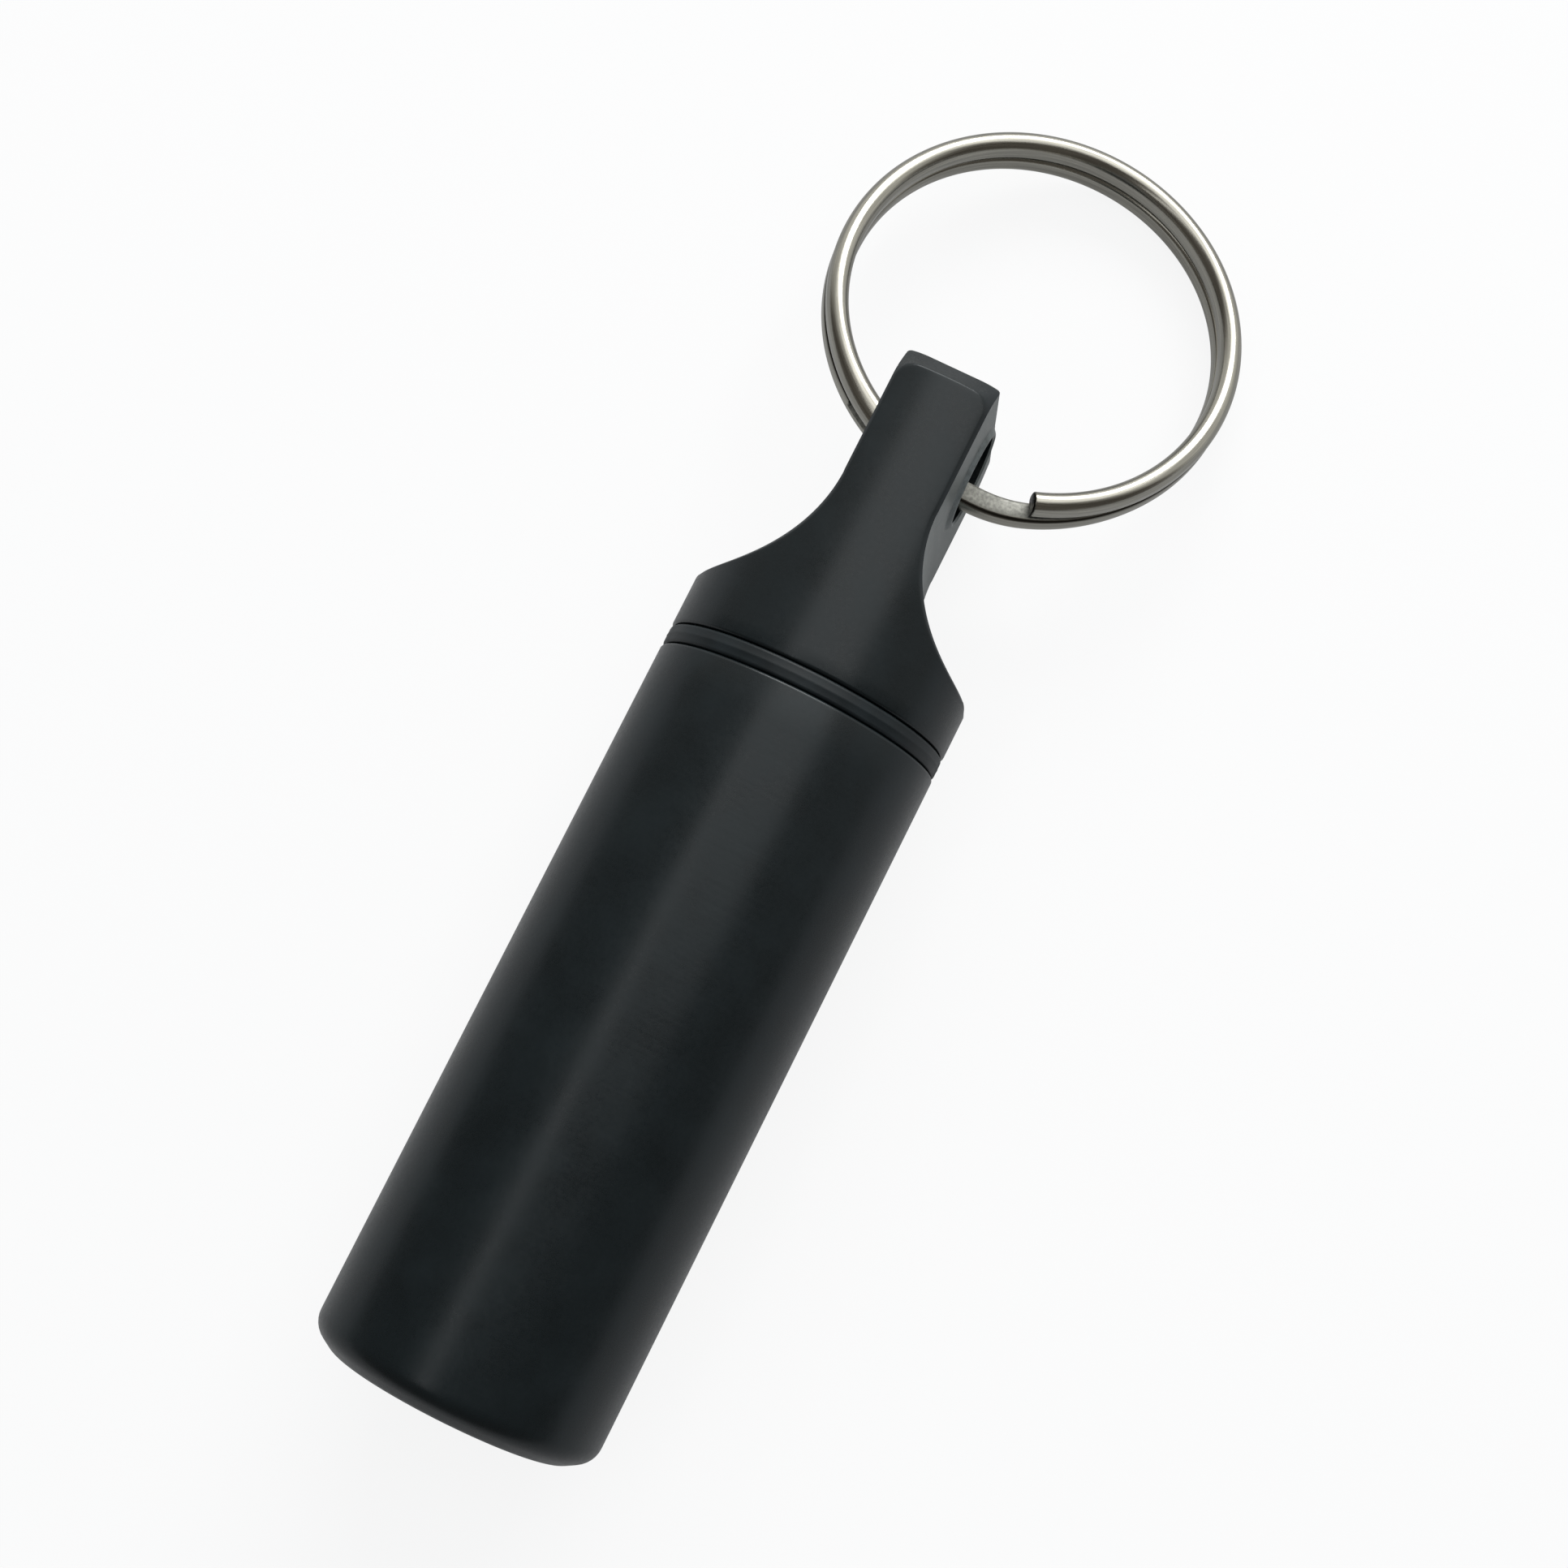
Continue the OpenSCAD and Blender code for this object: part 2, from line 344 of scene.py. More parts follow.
def shaded(tree, base, noise, low, high, span=NOISE_SPAN):
    """The base colour times a number that runs from low to high with a noise."""
    share = add_node(tree, "ShaderNodeMapRange", inputs={
        **span, "Value": noise.outputs["Fac"], "To Min": low, "To Max": high})
    scaled = add_node(tree, "ShaderNodeVectorMath", {"operation": "SCALE"}, {
        0: base[:3], "Scale": share.outputs["Result"]})
    return scaled.outputs["Vector"]


def finish_shader(tree, shader, tint, roughness, bump, settings):
    """Links the shader's colour, roughness and normal, and sets its plain values."""
    tree.links.new(tint, shader.inputs["Base Color"])
    tree.links.new(roughness, shader.inputs["Roughness"])
    tree.links.new(bump.outputs["Normal"], shader.inputs["Normal"])
    for key, value in settings.items():
        shader.inputs[key].default_value = value


# Materials


def satin_anodising(name, base, turning=True):
    """Bead-blasted and black anodised aluminium. The blasting gives a satin sheen with soft
    clouds in it, the dye a cool near-black, and handling a few faint nicks."""
    material, tree, shader = new_material(name)
    place = add_node(tree, "ShaderNodeTexCoord").outputs["Object"]
    # Soft clouds of 3 mm in the dye and the sheen
    cloud = add_node(tree, "ShaderNodeTexNoise", inputs={"Vector": place, "Scale": 330.0, "Detail": 4.0})
    # Blasting grain, which is 0.05 mm on the real part, drawn at 0.25 mm so that it shows
    grain = add_node(tree, "ShaderNodeTexNoise", inputs={"Vector": place, "Scale": 4000.0, "Detail": 2.0})
    height = grain.outputs["Fac"]
    if turning:
        # Faint traces of turning round the axis, 0.3 mm apart
        rings = add_node(tree, "ShaderNodeMapping", inputs={"Vector": place, "Scale": (3300.0, 60.0, 60.0)})
        traces = add_node(tree, "ShaderNodeTexNoise", inputs={
            "Vector": rings.outputs["Vector"], "Scale": 1.0})
        height = add_node(tree, "ShaderNodeMath", {"operation": "ADD"}, {
            0: height, 1: traces.outputs["Fac"]}).outputs[0]
    # Handling marks: strokes of 0.6 mm in about a quarter of the cells, which are 8 mm wide
    cell_scale = 125.0
    cells = add_node(tree, "ShaderNodeTexVoronoi", inputs={"Vector": place, "Scale": cell_scale})
    scaled = add_node(tree, "ShaderNodeVectorMath", {"operation": "SCALE"}, {0: place, "Scale": cell_scale})
    local = add_node(tree, "ShaderNodeVectorMath", {"operation": "SUBTRACT"}, {
        0: scaled.outputs["Vector"], 1: cells.outputs["Position"]})
    across = add_node(tree, "ShaderNodeVectorMath", {"operation": "DOT_PRODUCT"}, {
        0: local.outputs["Vector"], 1: (0.8, 0.6, 0.0)})
    thin = add_node(tree, "ShaderNodeMath", {"operation": "ABSOLUTE"}, {0: across.outputs["Value"]})
    thin = add_node(tree, "ShaderNodeMath", {"operation": "LESS_THAN"}, {0: thin.outputs[0], 1: 0.006})
    short = add_node(tree, "ShaderNodeMapRange", inputs={
        "Value": cells.outputs["Distance"], "From Min": 0.03, "From Max": 0.05, "To Min": 0.5, "To Max": 0.0})
    lot = add_node(tree, "ShaderNodeSeparateColor", inputs={0: cells.outputs["Color"]})
    chosen = add_node(tree, "ShaderNodeMath", {"operation": "GREATER_THAN"}, {0: lot.outputs[0], 1: 0.75})
    nick = thin
    for part in (short, chosen):
        nick = add_node(tree, "ShaderNodeMath", {"operation": "MULTIPLY"}, {
            0: nick.outputs[0], 1: part.outputs[0]})
    tint = add_node(tree, "ShaderNodeMix", {"data_type": "RGBA"}, {
        "Factor": nick.outputs[0], 6: shaded(tree, base, cloud, 0.82, 1.2), 7: linear("5c6366")})
    sheen = add_node(tree, "ShaderNodeMapRange", inputs={
        **NOISE_SPAN, "Value": cloud.outputs["Fac"], "To Min": 0.27, "To Max": 0.33})
    fine = add_node(tree, "ShaderNodeMapRange", inputs={
        **NOISE_SPAN, "Value": grain.outputs["Fac"], "To Min": -0.03, "To Max": 0.03})
    rough = add_node(tree, "ShaderNodeMath", {"operation": "ADD"}, {
        0: sheen.outputs["Result"], 1: fine.outputs["Result"]})
    bump = add_node(tree, "ShaderNodeBump", inputs={"Height": height, "Strength": 0.12, "Distance": 0.00002})
    finish_shader(tree, shader, tint.outputs[2], rough.outputs[0], bump, {
        "Metallic": 0.2, "Specular IOR Level": 0.45})
    return material


def milled_anodising(name, base):
    """The tab's milled sides, anodised with the rest: greyer than the blasted faces, rougher, mottled,
    and with faint marks from the cutter. The grey is a painted sheen for the glancing light that these faces
    catch."""
    material, tree, shader = new_material(name)
    place = add_node(tree, "ShaderNodeTexCoord").outputs["Object"]
    # Mottling of 0.4 mm, and cutter marks 0.2 mm apart along the capsule
    mottle = add_node(tree, "ShaderNodeTexNoise", inputs={"Vector": place, "Scale": 2600.0, "Detail": 4.0})
    cuts = add_node(tree, "ShaderNodeMapping", inputs={"Vector": place, "Scale": (5000.0, 100.0, 400.0)})
    marks = add_node(tree, "ShaderNodeTexNoise", inputs={"Vector": cuts.outputs["Vector"], "Scale": 1.0})
    rough = add_node(tree, "ShaderNodeMapRange", inputs={
        **NOISE_SPAN, "Value": mottle.outputs["Fac"], "To Min": 0.34, "To Max": 0.5})
    height = add_node(tree, "ShaderNodeMath", {"operation": "ADD"}, {
        0: mottle.outputs["Fac"], 1: marks.outputs["Fac"]})
    bump = add_node(tree, "ShaderNodeBump", inputs={
        "Height": height.outputs[0], "Strength": 0.15, "Distance": 0.00002})
    finish_shader(tree, shader, shaded(tree, base, mottle, 0.7, 1.4), rough.outputs["Result"], bump, {
        "Metallic": 0.2})
    return material


def moulded_nitrile(name, base):
    """Moulded nitrile rubber: a semi-matt near-black with a fine bloom and no metal in it."""
    material, tree, shader = new_material(name)
    place = add_node(tree, "ShaderNodeTexCoord").outputs["Object"]
    # Bloom in patches of 2 mm, and moulded grain of 0.2 mm
    bloom = add_node(tree, "ShaderNodeTexNoise", inputs={"Vector": place, "Scale": 500.0, "Detail": 3.0})
    grain = add_node(tree, "ShaderNodeTexNoise", inputs={"Vector": place, "Scale": 5000.0, "Detail": 2.0})
    rough = add_node(tree, "ShaderNodeMapRange", inputs={
        **NOISE_SPAN, "Value": bloom.outputs["Fac"], "To Min": 0.38, "To Max": 0.52})
    bump = add_node(tree, "ShaderNodeBump", inputs={
        "Height": grain.outputs["Fac"], "Strength": 0.2, "Distance": 0.00002})
    finish_shader(tree, shader, shaded(tree, base, bloom, 0.8, 1.35), rough.outputs["Result"], bump, {
        "Specular IOR Level": 0.3})
    return material


def bright_nickel(name, base):
    """Nickel-plated spring wire: a warm metal, glossy but not a mirror, with fine drawing lines
    along the wire. Its mating side, marked by the attribute mating, is scuffed dull and mottled.
    A painted shade, a dark brown marked by its own attribute, lies in the crease where the turns
    meet and on the cut faces."""
    material, tree, shader = new_material(name)
    place = add_node(tree, "ShaderNodeTexCoord").outputs["Object"]
    mating = add_node(tree, "ShaderNodeAttribute", {"attribute_name": "mating"}).outputs["Fac"]
    # Where the painted shade goes: the crease where the turns meet, and the cut faces
    painted_shade = add_node(tree, "ShaderNodeAttribute", {"attribute_name": "painted_shade"}).outputs["Fac"]
    along = add_node(tree, "ShaderNodeAttribute", {"attribute_name": "wire_place"}).outputs["Vector"]
    # Drawing lines: 0.1 mm apart across the wire and 4 mm long
    lines = add_node(tree, "ShaderNodeMapping", inputs={"Vector": along, "Scale": (250.0, 10000.0, 10000.0)})
    drawn = add_node(tree, "ShaderNodeTexNoise", inputs={
        "Vector": lines.outputs["Vector"], "Scale": 1.0, "Detail": 2.0})
    # Waviness of the plating over 1.5 mm
    waves = add_node(tree, "ShaderNodeTexNoise", inputs={"Vector": place, "Scale": 650.0, "Detail": 1.0})
    # Mottling of the scuffed mating side, 0.2 mm across
    mottle = add_node(tree, "ShaderNodeTexNoise", inputs={"Vector": place, "Scale": 4600.0, "Detail": 5.0})
    metal = add_node(tree, "ShaderNodeMix", {"data_type": "RGBA"}, {
        "Factor": mating, 6: shaded(tree, base, drawn, 0.8, 1.08, NARROW_SPAN),
        7: shaded(tree, linear("a0a098"), mottle, 0.42, 0.74, NARROW_SPAN)})
    # Painted shade: dark brown in the crease between the turns and on the cut faces
    tint = add_node(tree, "ShaderNodeMix", {"data_type": "RGBA"}, {
        "Factor": painted_shade, 6: metal.outputs[2], 7: linear("1d1a16")})
    shine = add_node(tree, "ShaderNodeMapRange", inputs={
        **NOISE_SPAN, "Value": drawn.outputs["Fac"], "To Min": 0.2, "To Max": 0.28})
    rough = add_node(tree, "ShaderNodeMix", {"data_type": "FLOAT"}, {
        "Factor": mating, 2: shine.outputs["Result"], 3: 0.42})
    heights = add_node(tree, "ShaderNodeMix", {"data_type": "FLOAT"}, {
        "Factor": mating, 2: drawn.outputs["Fac"], 3: mottle.outputs["Fac"]})
    fine = add_node(tree, "ShaderNodeBump", inputs={
        "Height": heights.outputs[0], "Strength": 0.1, "Distance": 0.000008})
    bump = add_node(tree, "ShaderNodeBump", inputs={
        "Height": waves.outputs["Fac"], "Strength": 0.1, "Distance": 0.00005,
        "Normal": fine.outputs["Normal"]})
    # The scuffed side is grey with wear and reflects less like bare metal
    whole = add_node(tree, "ShaderNodeMapRange", inputs={"Value": mating, "To Min": 1.0, "To Max": 0.55})
    tree.links.new(whole.outputs["Result"], shader.inputs["Metallic"])
    finish_shader(tree, shader, tint.outputs[2], rough.outputs[0], bump, {})
    return material


# Pieces


def thread_height(phase):
    """Height of a screw thread from 0 at its root to 1 on its crest, over a phase of 0 to 1."""
    share = abs(2 * (phase % 1) - 1)
    return max(0, min(1, (share - 0.2) / 0.6))


def threaded(xs, pitch, root, crest, low, high=None):
    """Rings of points for a right-hand thread, which fades out over the last pitch towards low and high."""
    rings = []
    for x in xs:
        fade = min(1.0, max(0, (x - low) / pitch))
        if high is not None:
            fade = min(fade, max(0, (high - x) / pitch))
        ring = []
        for k in range(AROUND):
            a = 2 * pi * k / AROUND
            r = root + (crest - root) * thread_height(x / pitch - k / AROUND) * fade
            ring.append((x, r * cos(a), r * sin(a)))
        rings.append(ring)
    return rings


def build_tube(p, pitch):
    """The tube: chamfered base with a shallow dish, threaded mouth and bored chamber."""
    r, top = p.diameter / 2, p.tube_l
    mouth, bore = r - p.rim_wall, r - p.wall
    root, shelf = mouth + p.thread_root, top - p.mouth_depth
    lead_in = 0.1 * MM
    outer = rounded(
        [(0, p.base_dish), (r - 2.2 * p.base_chamfer_w, p.base_dish), (r - 2 * p.base_chamfer_w, 0),
         (r - p.base_chamfer_w, 0), (r, p.base_chamfer_l), (r, top), (root, top),
         (root - lead_in, top - lead_in)],
        [0, 0.2 * MM, 0.1 * MM, p.base_soft, p.base_soft, p.edge, 0.06 * MM, 0],
    )
    start, low = outer[-1][1], shelf + 0.4 * MM
    xs = evenly(start, low, pitch / 12)
    thread = threaded(xs, pitch, root, mouth - p.thread_crest, low)
    # The thread's first half turn is cut back by the lead-in at the mouth
    lead_slope = 1.2
    for x, ring in zip(xs, thread):
        least = root - (start - x) * lead_slope
        for k, (px, py, pz) in enumerate(ring):
            here = hypot(py, pz)
            if here < least:
                ring[k] = (px, py * least / here, pz * least / here)
    inner = rounded(
        [(root, low), (root, shelf), (bore, shelf), (bore, p.floor), (0, p.floor)],
        [0, 0.1 * MM, 0.1 * MM, p.fillet, 0],
    )
    rings = turned(divided(outer, 2 * MM, 4 * MM)) + thread[1:] + turned(divided(inner[1:], 2 * MM))
    return make_piece("turned_tube", *join_rings(rings))


def build_seal(p, tube, neck_r):
    """The seal: a squeezed O-ring, flush with the tube, with its mould line round the outside."""
    near = tube.tube_l + p.gap
    far = near + p.width
    outer = tube.diameter / 2 - p.flash
    inner = neck_r + p.gap
    middle = (near + far) / 2
    half = 0.06 * MM
    loop = [
        (inner, middle), (inner, near), (outer, near), (outer, middle - half), (outer + p.flash, middle),
        (outer, middle + half), (outer, far), (inner, far), (inner, middle),
    ]
    outline = rounded(loop, [0, p.corner, p.corner, 0, 0, 0, p.corner, p.corner, 0])
    rings = turned(outline[:-1])
    return make_piece("squeezed_seal", *join_rings(rings + [rings[0]]), 50)


def cut_start(p, end, radius):
    """Place along the capsule where the side cutter leaves the round body."""
    return end - p.tab_l - sqrt(p.cutter_r**2 - (p.tab_t / 2 + p.cutter_r - radius) ** 2)


def half_width(p, x, end, radius):
    """Half the cap's width between the milled sides, x along the capsule, with the corner where
    the cutter leaves the round side rubbed soft."""
    start = end - p.tab_l
    if x >= start:
        return p.tab_t / 2
    run = start - x
    if run >= p.cutter_r:
        return radius
    past = radius - (p.tab_t / 2 + p.cutter_r - sqrt(p.cutter_r**2 - run**2))
    return radius - (past + sqrt(past**2 + p.start_soft**2)) / 2


def front_drop(p, x, y, width, end, radius):
    """How far the front face is cut down at a point by the end bevel and the side edge break."""
    edge = min(p.side_edge, 0.6 * max(0, radius - width))
    along = x - (end - p.bevel_l)
    across = abs(y) - (width - edge)
    r = p.corner_r
    past_x, past_y = along + r, across + r
    if past_x > 0 and past_y > 0:
        reach = hypot(past_x, past_y)
        beyond = reach - r
        share = past_x / max(reach, LEAST)
    else:
        beyond = max(along, across)
        share = 1.0 if along > across else 0.0
    depth = sqrt(radius**2 - y**2) - (radius - p.bevel_depth)
    slope = 1 + (depth / p.bevel_l - 1) * share**4
    soft = 0.03 * MM
    return slope * (beyond / 2 + sqrt(beyond**2 / 4 + soft**2 / 4)) if beyond > -6 * soft else 0.0


def side_stations(p, begin, end):
    """Places along the tab for rings of points: dense where the side cutter enters, evenly round
    the cutter's curve, and dense again over the end bevel and the end rounding."""
    straight, curve_steps, soft_steps = end - p.tab_l, 44, 8
    places = evenly(begin - 1.5 * MM, begin + 1.2 * MM, 0.06 * MM)[1:]
    sweep = asin((straight - places[-1]) / p.cutter_r)
    places += [straight - p.cutter_r * sin(sweep * (1 - k / curve_steps)) for k in range(1, curve_steps)]
    places += evenly(straight, end - 2.6 * MM, 0.5 * MM)
    places += evenly(end - 2.6 * MM, end - 0.6 * MM, 0.05 * MM)[1:]
    places += evenly(end - 0.6 * MM, end - p.end_soft, 0.1 * MM)[1:]
    soft = [k * pi / (2 * soft_steps) for k in range(1, soft_steps + 1)]
    return places + [end - p.end_soft * (1 - sin(a)) for a in soft]


def milled_ring(p, x, begin, end, r):
    """One ring of points round the tab: over the front face, down one side, back and up the other."""
    half_turn = AROUND // 2
    width = half_width(p, x, end, r)
    # Share by which the front's points are gathered at its edges, full once 0.5 mm is milled off
    milled = min(1, max(0, (r - width) / (0.5 * MM)))
    cut = width
    if x > end - p.end_soft:
        cut -= p.end_soft - sqrt(max(0, p.end_soft**2 - (x - end + p.end_soft) ** 2))
    edge_angle = acos(min(1, width / r))
    front = []
    for k in range(half_turn + 1):
        y = r * cos(edge_angle + (pi - 2 * edge_angle) * k / half_turn)
        j = min(k, half_turn - k)
        if j < len(NEAR_EDGE):
            wanted = (width - NEAR_EDGE[j] * MM) * (1 if k < half_turn / 2 else -1)
        else:
            inner = width - NEAR_EDGE[-1] * MM
            n = half_turn - 2 * (len(NEAR_EDGE) - 1)
            wanted = inner * (1 - 2 * (k - len(NEAR_EDGE) + 1) / n)
        y = y * (1 - milled) + wanted * milled
        y *= cut / width
        z = sqrt(max(0, r**2 - (y * width / cut) ** 2))
        if x > begin:
            z -= front_drop(p, x, y * width / cut, width, end, r)
        front.append((x, y, z))
    right = [(x, -cut, front[-1][2] * (1 - 2 * k / SIDE_STEPS)) for k in range(1, SIDE_STEPS)]
    back = [(x, -y, -z) for _, y, z in front]
    left = [(x, -y, -z) for _, y, z in right]
    return front + right + back + left


def build_cap(p, tube, seal):
    """The cap: threaded plug, plain neck, full shoulder, and the tab milled from both sides."""
    r = tube.diameter / 2
    shoulder = tube.tube_l + seal.width + 2 * seal.gap
    end = shoulder + p.cap_l
    plug_end, neck = shoulder - p.plug_l, shoulder - p.neck_l
    thread_start = plug_end + p.plug_chamfer
    # Turned part: the plug's end with a shallow recess, the thread, the relief, neck and shoulder
    recess, relief = 0.3 * MM, 0.25 * MM
    nose = rounded(
        [(0, plug_end + recess), (p.thread_root - 1.6 * MM, plug_end + recess),
         (p.thread_root - 1.4 * MM, plug_end), (p.thread_root - p.plug_chamfer, plug_end),
         (p.thread_root, thread_start)],
        [0, 0.1 * MM, 0.1 * MM, 0.1 * MM, 0],
    )
    xs = evenly(thread_start, neck, p.pitch / 12)
    thread = threaded(xs, p.pitch, p.thread_root, p.thread_crest, thread_start, neck)
    collar = rounded(
        [(p.thread_root, neck), (p.neck_r - relief, neck + 0.1 * MM), (p.neck_r - relief, neck + 0.35 * MM),
         (p.neck_r, neck + 0.5 * MM), (p.neck_r, shoulder), (r, shoulder), (r, shoulder + 1 * MM)],
        [0, 0.05 * MM, 0.05 * MM, 0.05 * MM, 0.1 * MM, tube.edge, 0],
    )
    # The turned rings repeat their points at both sides, where the milled rings have their sides
    half_turn, repeats = AROUND // 2, SIDE_STEPS - 1
    rings = []
    for ring in turned(nose) + thread[1:] + turned(collar)[1:]:
        ring = ring + ring[:1]
        rings.append(
            ring[: half_turn + 1] + [ring[half_turn]] * repeats + ring[half_turn:] + [ring[0]] * repeats
        )
    begin = cut_start(p, end, r)
    stations = evenly(shoulder + 1 * MM, begin - 1.5 * MM, 0.5 * MM)[1:] + side_stations(p, begin, end)
    rings += [milled_ring(p, x, begin, end, r) for x in stations]
    cap = make_piece("cap_blank", *join_rings(rings, True))
    # Hole and lips, each lip swelling out of the milled side
    bore, lip, side = p.hole_d / 2, p.hole_d / 2 + p.lip_w, p.tab_t / 2
    lip_y, b, sunk = side + p.lip_h, p.lip_bevel, 0.02 * MM
    swell_steps, hole_sides = 8, 96
    swell = [
        (bore + 1.2 * b + (lip - bore - 1.2 * b + p.lip_fade) * k / swell_steps,
         side - sunk + (p.lip_h + sunk) * (1 + cos(pi * k / swell_steps)) / 2)
        for k in range(swell_steps + 1)
    ]
    barrel = [(0, -lip_y)] + [(rr, -y) for rr, y in swell] + swell[::-1] + [(0, lip_y)]
    drill = [
        (0, -2 * lip_y), (bore + b, -2 * lip_y), (bore + b, -lip_y), (bore, b - lip_y), (bore, lip_y - b),
        (bore + b, lip_y), (bore + b, 2 * lip_y), (0, 2 * lip_y),
    ]
    hole_x = end - p.hole_to_end
    turn = [2 * pi * k / hole_sides for k in range(hole_sides)]
    for outline, operation, name in ((barrel, "UNION", "lipped_cap"), (drill, "DIFFERENCE", "milled_cap")):
        tool_rings = [
            [(hole_x - max(rr, LEAST) * sin(a), y, max(rr, LEAST) * cos(a)) for a in turn]
            for rr, y in outline
        ]
        tool = make_piece("tool", *join_rings(tool_rings))
        boolean = cap.modifiers.new("hole", "BOOLEAN")
        boolean.operation = operation
        boolean.solver = "EXACT"
        boolean.object = tool
        cap = baked(cap, name)
        bpy.data.objects.remove(tool)
    clean(cap.data, 1e-6)
    smooth(cap.data, 24)
    return cap


# Direction of the slope ground on the wire's lower end
GROUND_SIN, GROUND_COS = sin(radians(25)), cos(radians(25))
# Share of the wire's half height from which its flattened side is scuffed
SCUFFED_FROM = 0.93
# Steps that round each cut end, which start one row past the middle of its face
END_ROWS = 4.0
# Depth in metres from which a point counts as ground
LEAST_CUT = 1e-6
